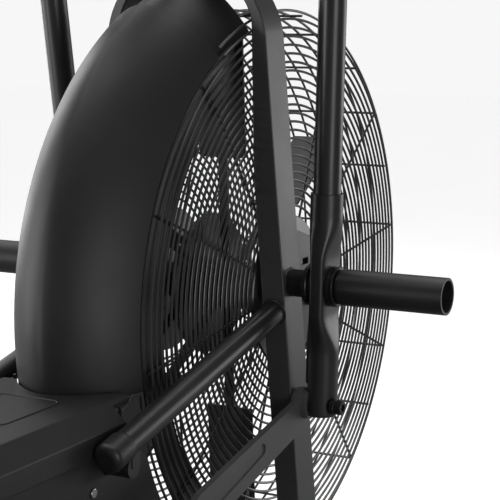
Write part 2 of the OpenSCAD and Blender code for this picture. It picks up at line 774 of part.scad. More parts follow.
main_beam();
front_stabilizer();
rear_stabilizer();
tube_end_caps();
levelling_feet();
wheel_brackets();
right_leg();
left_leg();
hub_plates();
side_tubes();
cross_brace();
crank_post();
seat_tube();
seat_bushing();
fan_axle();
axle_nuts();
right_grille();
right_grille_rings();
left_grille();
left_grille_rings();
rim_bars();
rim_hoops();
shroud();
cage_shields();
top_cover();
side_panels();
rear_panel();
housing_screws();
drive_belt();
crank_bearings();
peg_axles();
foot_pegs();
console_mast();
console_shell();
console_screen();
fan_hub();
fan_bearings();
fan_paddles();
fan_pulley();
crank_axle();
crank_pulley();
right_crank();
left_crank();
right_pedal();
left_pedal();
right_arm();
left_arm();
right_grip();
left_grip();
right_rod();
left_rod();
seat_post();
saddle_base();
saddle_cushion();
post_knob();
saddle_knob();
right_transport_wheel();
left_transport_wheel();
start_button();
stop_button();
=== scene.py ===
"""Air bike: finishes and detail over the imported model, seen close up at the fan wheel."""
import json
import math
import random

import bmesh
import bpy
import numpy as np
from mathutils import Matrix, Vector
from mathutils.bvhtree import BVHTree


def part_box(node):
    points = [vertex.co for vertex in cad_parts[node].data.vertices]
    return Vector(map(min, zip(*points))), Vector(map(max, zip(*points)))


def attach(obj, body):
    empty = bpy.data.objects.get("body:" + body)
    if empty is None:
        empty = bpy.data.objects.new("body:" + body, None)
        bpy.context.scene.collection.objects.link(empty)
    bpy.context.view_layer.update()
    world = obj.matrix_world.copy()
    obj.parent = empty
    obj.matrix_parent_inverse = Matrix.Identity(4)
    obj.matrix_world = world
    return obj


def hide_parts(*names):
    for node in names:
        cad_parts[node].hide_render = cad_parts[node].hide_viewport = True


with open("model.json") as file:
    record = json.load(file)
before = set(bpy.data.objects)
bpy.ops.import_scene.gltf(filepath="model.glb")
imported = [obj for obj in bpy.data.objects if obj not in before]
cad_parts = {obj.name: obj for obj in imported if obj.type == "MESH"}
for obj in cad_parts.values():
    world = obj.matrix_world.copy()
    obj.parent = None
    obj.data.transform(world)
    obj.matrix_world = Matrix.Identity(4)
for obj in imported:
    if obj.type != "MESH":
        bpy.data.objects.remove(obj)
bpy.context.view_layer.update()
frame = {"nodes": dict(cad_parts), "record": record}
nodes = frame["nodes"]
node_body = {n: b for b, members in frame["record"]["behaviour"]["bodies"].items() for n in members}
mm = 0.001


# ---------- places, all read from the frame ----------
def middle(node):
    low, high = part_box(node)
    return (low + high) / 2


wheel = middle("fan_axle")
pivot = middle("foot_pegs")
cage_half_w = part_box("left_grille")[1].y


# ---------- materials ----------
def node_at(tree, kind, **values):
    """A new shader node. Each value goes to the socket of that name, or else to the setting."""
    node = tree.nodes.new("ShaderNode" + kind)
    for key, value in values.items():
        if key in node.inputs:
            node.inputs[key].default_value = value
        else:
            setattr(node, key, value)
    return node


def ramp(tree, fac, low, high, low_colour, high_colour):
    """A blend from one colour to another as fac goes from low to high."""
    node = tree.nodes.new("ShaderNodeValToRGB")
    node.color_ramp.elements[0].position = low
    node.color_ramp.elements[1].position = high
    node.color_ramp.elements[0].color = (*low_colour, 1)
    node.color_ramp.elements[1].color = (*high_colour, 1)
    tree.links.new(fac, node.inputs["Fac"])
    return node.outputs["Color"]


def spread(tree, fac, low, high):
    """Stretches the middle of a noise over the range from low to high."""
    node = tree.nodes.new("ShaderNodeMapRange")
    node.inputs["From Min"].default_value = 0.3
    node.inputs["From Max"].default_value = 0.7
    node.inputs["To Min"].default_value = low
    node.inputs["To Max"].default_value = high
    tree.links.new(fac, node.inputs["Value"])
    return node.outputs["Result"]


def surface(name, colour, rough, metal=0.0, patch=9.0, variation=0.12, grain=700.0, bump=0.15,
            relief=0.0002, rough_range=0.06, stretch=(1, 1, 1), coat=0.0, specular=0.5):
    """A finish with soft colour and gloss patches and a fine grain. relief is in metres."""
    material = bpy.data.materials.new(name)
    material.use_nodes = True
    tree = material.node_tree
    link = tree.links.new
    shader = tree.nodes["Principled BSDF"]
    shader.inputs["Metallic"].default_value = metal
    shader.inputs["Coat Weight"].default_value = coat
    shader.inputs["Coat Roughness"].default_value = 0.15
    shader.inputs["Specular IOR Level"].default_value = specular
    place = node_at(tree, "TexCoord")
    shape = node_at(tree, "Mapping")
    shape.inputs["Scale"].default_value = stretch
    link(place.outputs["Object"], shape.inputs["Vector"])
    patches = node_at(tree, "TexNoise", Scale=patch, Detail=5.0, Roughness=0.6)
    link(place.outputs["Object"], patches.inputs["Vector"])
    fine = node_at(tree, "TexNoise", Scale=grain, Detail=2.0, Roughness=0.5)
    link(shape.outputs["Vector"], fine.inputs["Vector"])
    darker = [c * (1 - variation) for c in colour]
    lighter = [c * (1 + variation) for c in colour]
    tone = ramp(tree, patches.outputs["Fac"], 0.35, 0.65, darker, lighter)
    link(tone, shader.inputs["Base Color"])
    link(spread(tree, patches.outputs["Fac"], rough - rough_range, rough + rough_range),
         shader.inputs["Roughness"])
    raised = node_at(tree, "Bump", Strength=bump, Distance=relief)
    link(fine.outputs["Fac"], raised.inputs["Height"])
    link(raised.outputs["Normal"], shader.inputs["Normal"])
    return material


def leather(name, colour):
    """Vinyl: rounded grain cells with creases between them."""
    material = surface(name, colour, 0.52, grain=900.0, bump=0.1, specular=0.45)
    tree = material.node_tree
    shader = tree.nodes["Principled BSDF"]
    place = tree.nodes["Texture Coordinate"]
    cells = node_at(tree, "TexVoronoi", Scale=420.0, feature="SMOOTH_F1")
    tree.links.new(place.outputs["Object"], cells.inputs["Vector"])
    grain = node_at(tree, "Bump", Strength=0.35, Distance=0.0003)
    grain.invert = True
    tree.links.new(cells.outputs["Distance"], grain.inputs["Height"])
    tree.links.new(tree.nodes["Bump"].outputs["Normal"], grain.inputs["Normal"])
    tree.links.new(grain.outputs["Normal"], shader.inputs["Normal"])
    shader.inputs["Sheen Weight"].default_value = 0.08
    return material


finish = {
    "frame_paint": surface("frame_paint", (0.016, 0.016, 0.017), 0.36, coat=0.15),
    "fork_paint": surface("fork_paint", (0.050, 0.050, 0.051), 0.46, coat=0.15),
    "arm_paint": surface("arm_paint", (0.020, 0.020, 0.021), 0.36, coat=0.15),
    "rod_paint": surface("rod_paint", (0.075, 0.075, 0.076), 0.44, coat=0.15),
    "cage_wire": surface("cage_wire", (0.045, 0.045, 0.046), 0.30, coat=0.3, grain=400.0, bump=0.08),
    "cover_plastic": surface("cover_plastic", (0.017, 0.017, 0.018), 0.46, grain=1500.0, bump=0.35,
                             relief=0.00015, rough_range=0.05),
    "black_plastic": surface("black_plastic", (0.014, 0.014, 0.015), 0.42, grain=1300.0, bump=0.25),
    "rubber": surface("rubber", (0.018, 0.018, 0.018), 0.72, grain=500.0, bump=0.4, specular=0.3),
    "grip_foam": surface("grip_foam", (0.014, 0.014, 0.015), 0.86, grain=1800.0, bump=0.8,
                         relief=0.0004, specular=0.25),
    "black_metal": surface("black_metal", (0.020, 0.020, 0.021), 0.32, metal=0.4),
    "bright_steel": surface("bright_steel", (0.56, 0.57, 0.58), 0.24, metal=1.0, grain=250.0,
                            bump=0.06, stretch=(1, 8, 1)),
    "fan_aluminium": surface("fan_aluminium", (0.016, 0.016, 0.017), 0.42, metal=0.2, grain=260.0,
                             bump=0.1, stretch=(1, 6, 1)),
    "pedal_plastic": surface("pedal_plastic", (0.02, 0.02, 0.021), 0.5, grain=1100.0, bump=0.4),
    "post_chrome": surface("post_chrome", (0.30, 0.30, 0.31), 0.30, metal=1.0, grain=300.0, bump=0.04,
                           stretch=(10, 10, 1)),
    "saddle_cover": leather("saddle_cover", (0.017, 0.017, 0.018)),
    "screen": surface("screen", (0.045, 0.055, 0.050), 0.12, grain=2600.0, bump=0.03, coat=0.6),
    "button_green": surface("button_green", (0.03, 0.22, 0.06), 0.4, grain=1200.0),
    "button_red": surface("button_red", (0.35, 0.02, 0.02), 0.4, grain=1200.0),
}


# ---------- mesh helpers ----------
def link_object(obj):
    bpy.context.scene.collection.objects.link(obj)
    return obj


def placed(obj, slot_name, body="root", replaces=()):
    """Gives a piece its finish and its body, and hides the CAD nodes that it stands for."""
    obj.data.materials.clear()
    obj.data.materials.append(finish[slot_name])
    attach(obj, body)
    if replaces:
        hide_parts(*replaces)
    return obj


def from_bmesh(name, bm, sharp=40.0, weighted=True):
    """Turns bm into an object, shaded smooth except across edges sharper than an angle in degrees."""
    mesh = bpy.data.meshes.new(name)
    bmesh.ops.recalc_face_normals(bm, faces=bm.faces)
    bm.to_mesh(mesh)
    bm.free()
    mesh.shade_smooth()
    mesh.set_sharp_from_angle(angle=math.radians(sharp))
    obj = link_object(bpy.data.objects.new(name, mesh))
    if weighted:
        normals = obj.modifiers.new("normals", "WEIGHTED_NORMAL")
        normals.keep_sharp = True
        normals.weight = 80
    return obj


weld_distance = 4e-6
flat_angle = math.radians(0.4)
rounded_angle = math.radians(34.0)
rounded_sharp = 46.0


def softened(node, slot_name, width):
    """A copy of a CAD node with rounded edges, width in millimetres."""
    bm = bmesh.new()
    bm.from_mesh(nodes[node].data)
    bmesh.ops.remove_doubles(bm, verts=bm.verts, dist=weld_distance)
    bmesh.ops.dissolve_limit(bm, angle_limit=flat_angle, verts=bm.verts, edges=bm.edges)
    if width:
        edges = [e for e in bm.edges
                 if len(e.link_faces) == 2 and e.calc_face_angle() > rounded_angle]
        bmesh.ops.bevel(bm, geom=edges, offset=width * mm, offset_type="OFFSET", segments=2,
                        profile=0.5, affect="EDGES", clamp_overlap=True)
    obj = from_bmesh(node + "_finish", bm, rounded_sharp)
    return placed(obj, slot_name, node_body[node], [node])


def join_rings(bm, rings, closed=False):
    """Faces between each ring of points and the next, and from the last to the first if closed."""
    sides = len(rings[0])
    for i in range(len(rings) if closed else len(rings) - 1):
        a, b = rings[i], rings[(i + 1) % len(rings)]
        for k in range(sides):
            bm.faces.new((a[k], a[(k + 1) % sides], b[(k + 1) % sides], b[k]))


def ring_points(centre, along, radius, count):
    """Points round a circle about an axis. About a crosswise axis they start from straight ahead."""
    along = along.normalized()
    across = along.orthogonal().normalized()
    if abs(along.y) > 0.9:
        across = Vector((1, 0, 0))
    other = along.cross(across).normalized()
    return [centre + radius * (math.cos(math.tau * i / count) * across
                               + math.sin(math.tau * i / count) * other) for i in range(count)]


def sweep(bm, points, radius, sides=8, closed=False):
    """A round wire along points, added to bm. radius may be one number or one for each point."""
    count = len(points)
    radii = [radius] * count if isinstance(radius, float) else radius
    rings = []
    normal = None
    for i, p in enumerate(points):
        before = points[i - 1] if (i > 0 or closed) else p
        after = points[(i + 1) % count] if (i < count - 1 or closed) else p
        tangent = (after - before).normalized()
        if normal is None:
            normal = tangent.orthogonal().normalized()
        normal = (normal - tangent * normal.dot(tangent)).normalized()
        side = tangent.cross(normal)
        rings.append([bm.verts.new(p + radii[i] * (math.cos(math.tau * k / sides) * normal
                                                   + math.sin(math.tau * k / sides) * side))
                      for k in range(sides)])
    join_rings(bm, rings, closed)
    if not closed:
        bm.faces.new(list(reversed(rings[0])))
        bm.faces.new(rings[-1])


def hoop(bm, r, y, wire_r, sides=8, steps=150, a0=None, a1=None):
    """A wire ring of the cage, or its part from angle a0 up to a1 in degrees."""
    if a0 is None:
        angles = [math.tau * i / steps for i in range(steps)]
    else:
        angles = [math.radians(a0 + (a1 - a0) * i / (steps - 1)) for i in range(steps)]
    points = [wheel + Vector((r * math.cos(a), y, r * math.sin(a))) for a in angles]
    if a0 is not None:
        sweep(bm, points, wire_r, sides)
        return
    rings = []
    for a in angles:
        out = Vector((math.cos(a), 0, math.sin(a)))
        centre = wheel + Vector((0, y, 0)) + r * out
        rings.append([bm.verts.new(centre + wire_r * (math.cos(math.tau * k / sides) * out
                                                      + math.sin(math.tau * k / sides) * Vector((0, 1, 0))))
                      for k in range(sides)])
    join_rings(bm, rings, True)


def turned_ring(bm, profile, centre, sides):
    """Revolves a closed outline of (crosswise, radius) points about a crosswise axis, added to bm."""
    rings = []
    for along, radius in profile:
        rings.append([bm.verts.new(centre + Vector((radius * math.cos(math.tau * k / sides), along,
                                                    radius * math.sin(math.tau * k / sides))))
                      for k in range(sides)])
    join_rings(bm, rings, True)


def lathe(bm, profile, origin, axis, sides=48):
    """Revolves (along, radius) points about an axis, added to bm, with closed ends."""
    axis = axis.normalized()
    across = axis.orthogonal().normalized()
    other = axis.cross(across)
    rings = []
    for along, radius in profile:
        centre = origin + axis * along
        if radius < 1e-6:
            rings.append([bm.verts.new(centre)])
            continue
        rings.append([bm.verts.new(centre + radius * (math.cos(math.tau * k / sides) * across
                                                      + math.sin(math.tau * k / sides) * other))
                      for k in range(sides)])
    for a, b in zip(rings, rings[1:]):
        for k in range(sides):
            j = (k + 1) % sides
            if len(a) == 1:
                bm.faces.new((a[0], b[j], b[k]))
            elif len(b) == 1:
                bm.faces.new((a[k], a[j], b[0]))
            else:
                bm.faces.new((a[k], a[j], b[j], b[k]))
    for ring, flip in ((rings[0], True), (rings[-1], False)):
        if len(ring) > 1:
            bm.faces.new(list(reversed(ring)) if flip else ring)


# ---------- cage ----------
wire_r = 1.6 * mm
full_r = 338.4 * mm
cage = {"ring_pitch": 10.2 * mm, "ring_count": 24, "rim_ring_y": 82.4 * mm, "spokes": 12, "first_a": 7.0,
        "spoke_in": 3.4 * mm, "spoke_from": 84 * mm, "spoke_short": 1.0 * mm, "plate_r": 92 * mm,
        "plate_hole": 12 * mm, "plate_thick": 4 * mm, "plate_lip": 1.2 * mm, "cover_from": 105.0,
        "cover_to": 190.0, "open_to": 119.0, "under_cover_r": 319 * mm}
rim = {"bars": 24, "bar_in": 3.4 * mm, "no_bars": (187, 217), "short_bars": (104, 215),
       "short_half": 62 * mm, "half": 80.5 * mm, "hoop_ys": (54 * mm, 32 * mm, 11 * mm)}


def outward(a):
    """The direction from the wheel's middle at an angle in degrees above straight ahead."""
    return Vector((math.cos(math.radians(a)), 0, math.sin(math.radians(a))))


def open_hoop(bm, r, y, sides):
    """A ring with a gap where the shroud takes its place."""
    hoop(bm, r, y, wire_r, sides, 130, cage["cover_to"] - 360, cage["open_to"])


for side_name, side in (("right", -1), ("left", 1)):
    bm = bmesh.new()
    base = wheel + Vector((0, side * (cage_half_w - cage["spoke_in"]), 0))
    for i in range(cage["spokes"]):
        a = 360 * i / cage["spokes"] + cage["first_a"]
        covered = cage["cover_from"] < a < cage["cover_to"]
        end = cage["under_cover_r"] if covered else full_r - cage["spoke_short"]
        sweep(bm, [base + outward(a) * r for r in (cage["spoke_from"], end)], wire_r, 10)
    open_hoop(bm, full_r, side * cage["rim_ring_y"], 10)
    outer, inner = side * cage_half_w, side * (cage_half_w - cage["plate_thick"])
    lip, hole, edge = cage["plate_lip"], cage["plate_hole"], cage["plate_r"]
    turned_ring(bm, [(inner, hole), (inner, edge - lip), (inner + side * lip, edge),
                     (outer - side * lip, edge), (outer, edge - lip), (outer, hole + lip),
                     (outer - side * lip, hole)], wheel, 96)
    placed(from_bmesh(side_name + "_cage_spokes", bm), "cage_wire", "root", [side_name + "_grille"])
    bm = bmesh.new()
    open_hoop(bm, full_r - cage["ring_pitch"], side * cage_half_w, 8)
    for i in range(2, cage["ring_count"]):
        hoop(bm, full_r - i * cage["ring_pitch"], side * cage_half_w, wire_r, 8, 140)
    placed(from_bmesh(side_name + "_cage_rings", bm, weighted=False), "cage_wire", "root",
           [side_name + "_grille_rings"])

bm = bmesh.new()
for i in range(rim["bars"]):
    a = 360 // rim["bars"] * i + cage["first_a"]
    if rim["no_bars"][0] <= a <= rim["no_bars"][1]:
        continue
    half = rim["short_half"] if rim["short_bars"][0] < a < rim["short_bars"][1] else rim["half"]
    centre = wheel + (full_r - rim["bar_in"]) * outward(a)
    sweep(bm, [centre - Vector((0, half, 0)), centre + Vector((0, half, 0))], wire_r, 10)
placed(from_bmesh("cage_rim_bars", bm), "cage_wire", "root", ["rim_bars"])
bm = bmesh.new()
for y in rim["hoop_ys"]:
    hoop(bm, full_r, y, wire_r, 10)
    hoop(bm, full_r, -y, wire_r, 10)
placed(from_bmesh("cage_rim_hoops", bm, weighted=False), "cage_wire", "root", ["rim_hoops"])

# ---------- CAD parts with rounded edges: finish, and width of the rounding in millimetres ----------
rounded = {
    "main_beam": ("frame_paint", 3.0), "front_stabilizer": ("frame_paint", 2.5),
    "rear_stabilizer": ("frame_paint", 2.5), "wheel_brackets": ("frame_paint", 0.8),
    "right_leg": ("fork_paint", 6.0), "left_leg": ("fork_paint", 6.0),
    "hub_plates": ("fork_paint", 1.2), "side_tubes": ("frame_paint", 0.0),
    "cross_brace": ("frame_paint", 1.0), "crank_post": ("frame_paint", 2.0),
    "seat_tube": ("frame_paint", 4.0), "seat_bushing": ("black_plastic", 0.8),
    "tube_end_caps": ("black_plastic", 3.0), "levelling_feet": ("rubber", 1.5),
    "fan_axle": ("bright_steel", 1.0), "axle_nuts": ("bright_steel", 1.0),
    "shroud": ("cover_plastic", 1.0), "cage_shields": ("cover_plastic", 0.4),
    "top_cover": ("cover_plastic", 2.5),
    "side_panels": ("cover_plastic", 1.2), "rear_panel": ("cover_plastic", 1.0),
    "housing_screws": ("bright_steel", 0.8), "crank_bearings": ("bright_steel", 0.8),
    "peg_axles": ("black_metal", 1.0), "foot_pegs": ("black_plastic", 1.0),
    "console_mast": ("frame_paint", 3.0), "console_shell": ("black_plastic", 6.0),
    "console_screen": ("screen", 0.4), "fan_hub": ("fan_aluminium", 0.8),
    "fan_bearings": ("bright_steel", 0.6), "fan_paddles": ("fan_aluminium", 0.9),
    "fan_pulley": ("black_metal", 0.6), "crank_axle": ("bright_steel", 1.0),
    "crank_pulley": ("black_metal", 0.8), "right_crank": ("black_metal", 1.2),
    "left_crank": ("black_metal", 1.2), "right_pedal": ("pedal_plastic", 1.5),
    "left_pedal": ("pedal_plastic", 1.5), "right_rod": ("rod_paint", 1.1), "left_rod": ("rod_paint", 1.1),
    "seat_post": ("post_chrome", 1.5), "saddle_base": ("black_plastic", 1.5),
    "post_knob": ("black_plastic", 1.2), "saddle_knob": ("black_plastic", 1.2),
    "drive_belt": ("rubber", 0.4),
    "start_button": ("button_green", 0.8), "stop_button": ("button_red", 0.8),
}
for node, (slot_name, width) in rounded.items():
    softened(node, slot_name, width)


# ---------- arms ----------
arm_shape = {"y": 168.5 * mm, "splay": 1.8, "tube": 16 * mm, "sleeve": 19 * mm, "foot": -154 * mm,
             "cut_above": -116 * mm, "cut_y": 11.5 * mm, "flat_x": 26 * mm, "flat_y": 10 * mm,
             "flat_to": 30 * mm, "round_from": 80 * mm, "sleeve_top": 107.9 * mm, "bend_from": 560 * mm,
             "bend_r": 80 * mm, "bend_a": 65.0, "end": 190 * mm, "edge": 2.5 * mm}
foot_steps = (0, 1.2, 3, 10, 20, 30, 37.6)
sleeve_step = 4.4 * mm
tube_step = 20 * mm
arm_lean = {"right": 1.05, "left": 6.55}


def eased(t):
    """A smooth step from 0 to 1."""
    t = max(0.0, min(1.0, t))
    return t * t * (3 - 2 * t)


def arm_section(s):
    """Half width, half thickness and squareness of the arm at a height above its pivot."""
    if s > arm_shape["sleeve_top"]:
        return arm_shape["tube"], arm_shape["tube"], 2.0
    t = 1 - eased((abs(s) - arm_shape["flat_to"]) / (arm_shape["round_from"] - arm_shape["flat_to"]))
    sleeve = arm_shape["sleeve"]
    return (sleeve + (arm_shape["flat_x"] - sleeve) * t, sleeve + (arm_shape["flat_y"] - sleeve) * t,
            2.0 + 2.6 * t)


def arm_path():
    """Places along the arm: height for the section, point, and direction."""
    top = arm_shape["sleeve_top"]
    heights = [arm_shape["foot"] + d * mm for d in foot_steps]
    heights += [arm_shape["cut_above"] + 0.4 * mm + i * sleeve_step for i in range(51)]
    heights += [top - 0.8 * mm, top, top + 0.2 * mm]
    heights += [top + tube_step * i for i in range(1, 22)]
    up = Vector((0, 0, 1))
    path = [(s, Vector((0, 0, s)), up) for s in heights if s < arm_shape["bend_from"]]
    r = arm_shape["bend_r"]
    for i in range(17):
        a = math.radians(arm_shape["bend_a"] * i / 16)
        point = Vector((-r + r * math.cos(a), 0, arm_shape["bend_from"] + r * math.sin(a)))
        path.append((1.0, point, Vector((-math.sin(a), 0, math.cos(a)))))
    last, heading = path[-1][1], path[-1][2]
    path.append((1.0, last + heading * arm_shape["end"], heading))
    return path


def arm_tube(bm, matrix, sides=40):
    """One arm from its foot to the end of its handle, added to bm."""
    edge = arm_shape["edge"]
    rings = []
    for s, point, heading in arm_path():
        half_x, half_y, power = arm_section(s)
        near_end = arm_shape["foot"] + edge - s
        if near_end > 0:
            shrink = 1 - 0.55 * (near_end / edge) ** 2 * edge / half_x
            half_x, half_y = half_x * shrink, half_y * shrink
        side = Vector((0, 1, 0))
        front = side.cross(heading)
        ring = []
        for k in range(sides):
            a = math.tau * k / sides
            c, d = math.cos(a), math.sin(a)
            x = math.copysign(abs(c) ** (2 / power), c) * half_x
            y = math.copysign(abs(d) ** (2 / power), d) * half_y
            if s < arm_shape["cut_above"]:
                y = min(y, arm_shape["cut_y"])
            ring.append(bm.verts.new(matrix @ (point + front * x + side * y)))
        rings.append(ring)
    join_rings(bm, rings)
    bm.faces.new(list(reversed(rings[0])))
    bm.faces.new(rings[-1])


def turned_part(bm, profile, side, x, z):
    """Revolves (outward distance from the bike's middle, radius) points, in mm, about a crosswise axis."""
    lathe(bm, [(a * mm, r * mm) for a, r in profile], Vector((x, 0, z)), Vector((0, side, 0)), 44)


inner_collar = [(148.5, 12.1), (148.5, 23), (149.5, 24), (154, 24), (155, 23.2), (155.6, 20), (160, 20),
                (160, 12.1)]
outer_collar = [(172, 12.1), (172, 20), (178, 20), (178.6, 22.6), (179.6, 23.5), (183.6, 23.5),
                (184.2, 22.2), (184.8, 22.2), (185.4, 23.5), (187.2, 23.5), (188, 22.6), (188, 12.1)]
pin_inside = [(138, 0), (138, 10.8), (139.2, 12), (160, 12), (160, 0)]
pin_outside = [(182, 0), (182, 9.5), (186.4, 9.5), (187, 8.9), (187.2, 8.5), (195.2, 8.5), (196, 7.7),
               (196, 4.6), (191, 4.2), (191, 0)]
pin_offset = Vector((-6 * mm, 0, -141.1 * mm))
for side_name, side in (("right", -1), ("left", 1)):
    node = side_name + "_arm"
    mirror = Matrix.Diagonal((1, -side, 1, 1))
    matrix = (Matrix.Translation((pivot.x, 0, pivot.z)) @ mirror
              @ Matrix.Translation((0, -arm_shape["y"], 0))
              @ Matrix.Rotation(math.radians(-arm_lean[side_name]), 4, "Y")
              @ Matrix.Rotation(math.radians(arm_shape["splay"]), 4, "X"))
    bm = bmesh.new()
    arm_tube(bm, matrix)
    placed(from_bmesh(side_name + "_arm_tube", bm, 40.0), "arm_paint", node_body[node], [node])
    bm = bmesh.new()
    turned_part(bm, inner_collar, side, pivot.x, pivot.z)
    turned_part(bm, outer_collar, side, pivot.x, pivot.z)
    turn = arm_lean[side_name] - arm_lean["right"]
    pin = Vector((pivot.x, 0, pivot.z)) + Matrix.Rotation(math.radians(-turn), 3, "Y") @ pin_offset
    turned_part(bm, pin_inside, side, pin.x, pin.z)
    turned_part(bm, pin_outside, side, pin.x, pin.z)
    placed(from_bmesh(side_name + "_arm_collars", bm, 35.0), "black_metal", node_body[node])


# ---------- foam grips ----------
def main_axis(node):
    """The centre of a node, its long direction and half its length."""
    points = np.array([v.co for v in nodes[node].data.vertices], float)
    low, high = points.min(0), points.max(0)
    centre = (low + high) / 2
    values, vectors = np.linalg.eigh(np.cov((points - points.mean(0)).T))
    along = Vector(vectors[:, -1]).normalized()
    spans = (points - centre) @ np.array(along)
    centre = Vector(centre) + along * float(spans.max() + spans.min()) / 2
    return centre, along, float(spans.max() - spans.min()) / 2


grip_r = 20 * mm
ribs = 22
for side_name in ("right", "left"):
    node = side_name + "_grip"
    centre, along, half = main_axis(node)
    profile = [(-half, 0.0), (-half, grip_r - 3 * mm), (-half + 2 * mm, grip_r - 0.6 * mm)]
    step = (2 * half - 14 * mm) / ribs
    for i in range(ribs):
        start = -half + 5 * mm + i * step
        profile += [(start, grip_r - 1.6 * mm), (start + 0.25 * step, grip_r - 0.1 * mm),
                    (start + 0.6 * step, grip_r - 0.1 * mm), (start + 0.85 * step, grip_r - 1.6 * mm)]
    profile += [(half - 8 * mm, grip_r - 0.4 * mm), (half - 3 * mm, grip_r - 0.6 * mm),
                (half - 1 * mm, grip_r - 2.5 * mm), (half, grip_r - 6 * mm), (half, 0.0)]
    bm = bmesh.new()
    lathe(bm, profile, centre, along, 56)
    placed(from_bmesh(side_name + "_foam_grip", bm, 50.0), "grip_foam", node_body[node], [node])

# ---------- transport wheels ----------
bore = 5 * mm
hub_r = 11 * mm
web_in = 4 * mm
for side_name in ("right", "left"):
    node = side_name + "_transport_wheel"
    low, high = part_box(node)
    half = (high.y - low.y) / 2
    r = (high.z - low.z) / 2
    tread = [(-half, r - 4 * mm), (-half + 3 * mm, r - 0.8 * mm), (-4 * mm, r), (-3 * mm, r - 1.6 * mm),
             (3 * mm, r - 1.6 * mm), (4 * mm, r), (half - 3 * mm, r - 0.8 * mm), (half, r - 4 * mm)]
    disc = [(half, r - 9 * mm), (half - web_in, r - 11 * mm), (half - web_in, 12 * mm), (half, hub_r),
            (half, bore), (-half, bore), (-half, hub_r), (-half + web_in, 12 * mm),
            (-half + web_in, r - 11 * mm), (-half, r - 9 * mm)]
    bm = bmesh.new()
    turned_ring(bm, tread + disc, middle(node), 56)
    placed(from_bmesh(side_name + "_roller", bm), "rubber", node_body[node], [node])

# ---------- weld beads ----------
rng = random.Random(7)


def weld_bead(bm, centre, axis, radius, size=2.4 * mm):
    """A rippled bead round a joint, added to bm."""
    count = max(24, int(math.tau * radius / (1.6 * mm)))
    points = ring_points(centre, axis, radius, count)
    radii = [size * (0.85 + 0.18 * (i % 3) / 2 + rng.uniform(-0.06, 0.06)) for i in range(count)]
    sweep(bm, points, radii, 8, closed=True)


bm = bmesh.new()
tube_slope = Vector((-326, 0, -78)).normalized()
tube_bead_r = 14 * mm
boss_bead_r = 16 * mm
for side in (-1, 1):
    joint = wheel + Vector((-91 * mm, side * 113 * mm, -10 * mm))
    weld_bead(bm, joint, tube_slope, tube_bead_r)
    boss = Vector((pivot.x, side * 124.5 * mm, pivot.z))
    weld_bead(bm, boss, Vector((0, 1, 0)), boss_bead_r)
placed(from_bmesh("weld_beads", bm), "frame_paint", "root")

# ---------- raised outline on the top cover ----------
bm = bmesh.new()
cover_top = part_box("top_cover")[1].z
pad_centre = Vector((wheel.x - 462 * mm, 0, cover_top + 0.1 * mm))
half_long, half_wide, corner = 52 * mm, 40 * mm, 14 * mm
outline = []
for cx, cy, start in ((1, 1, 0), (-1, 1, 90), (-1, -1, 180), (1, -1, 270)):
    for i in range(8):
        a = math.radians(start + 90 * i / 7)
        outline.append(pad_centre + Vector((cx * (half_long - corner) + corner * math.cos(a),
                                            cy * (half_wide - corner) + corner * math.sin(a), 0)))
sweep(bm, outline, 0.9 * mm, 8, closed=True)
placed(from_bmesh("cover_outline", bm), "cover_plastic", "root")


# ---------- saddle ----------
last_frame = 20
pad_shrink = {"x": 0.955, "y": 0.935, "z": 0.84}
voxel = 5 * mm
pad_pressure = 4.0
largest_shift = 12 * mm
held_height = 3 * mm
channel_width = 0.13
channel_depth = 5 * mm
piping = {"height": 15 * mm, "points": 120, "sunk": 0.6 * mm, "radius": 1.7 * mm}
stitches = {"height": 20 * mm, "points": 240, "proud": 0.2 * mm, "radius": 0.45 * mm}


def simulated(obj, pressure, cap, pin_below):
    """Inflates a closed soft piece over the frames, with its underside held, and keeps the result."""
    rest = np.array([v.co for v in obj.data.vertices], float)
    group = obj.vertex_groups.new(name="held")
    group.add([v.index for v in obj.data.vertices if v.co.z < pin_below], 1.0, "REPLACE")
    cloth = obj.modifiers.new("cloth", "CLOTH")
    settings = cloth.settings
    settings.quality = 4
    settings.mass = 0.25
    settings.use_pressure = True
    settings.uniform_pressure_force = pressure
    settings.tension_stiffness = 12
    settings.compression_stiffness = 12
    settings.bending_stiffness = 1.0
    settings.vertex_group_mass = "held"
    settings.effector_weights.gravity = 0
    cloth.collision_settings.use_collision = False
    scene = bpy.context.scene
    for frame_number in range(1, last_frame + 1):
        scene.frame_set(frame_number)
    evaluated = obj.evaluated_get(bpy.context.evaluated_depsgraph_get())
    moved = np.array([v.co for v in evaluated.data.vertices], float)
    obj.modifiers.clear()
    scene.frame_set(1)
    shift = moved - rest
    length = np.linalg.norm(shift, axis=1, keepdims=True)
    shift *= np.minimum(1.0, cap / np.maximum(length, 1e-9))
    for v, new in zip(obj.data.vertices, rest + shift):
        v.co = new


def applied(obj):
    """Keeps what the modifiers of a piece make of it, and takes the modifiers away."""
    evaluated = obj.evaluated_get(bpy.context.evaluated_depsgraph_get())
    mesh = bpy.data.meshes.new_from_object(evaluated)
    obj.modifiers.clear()
    obj.data = mesh


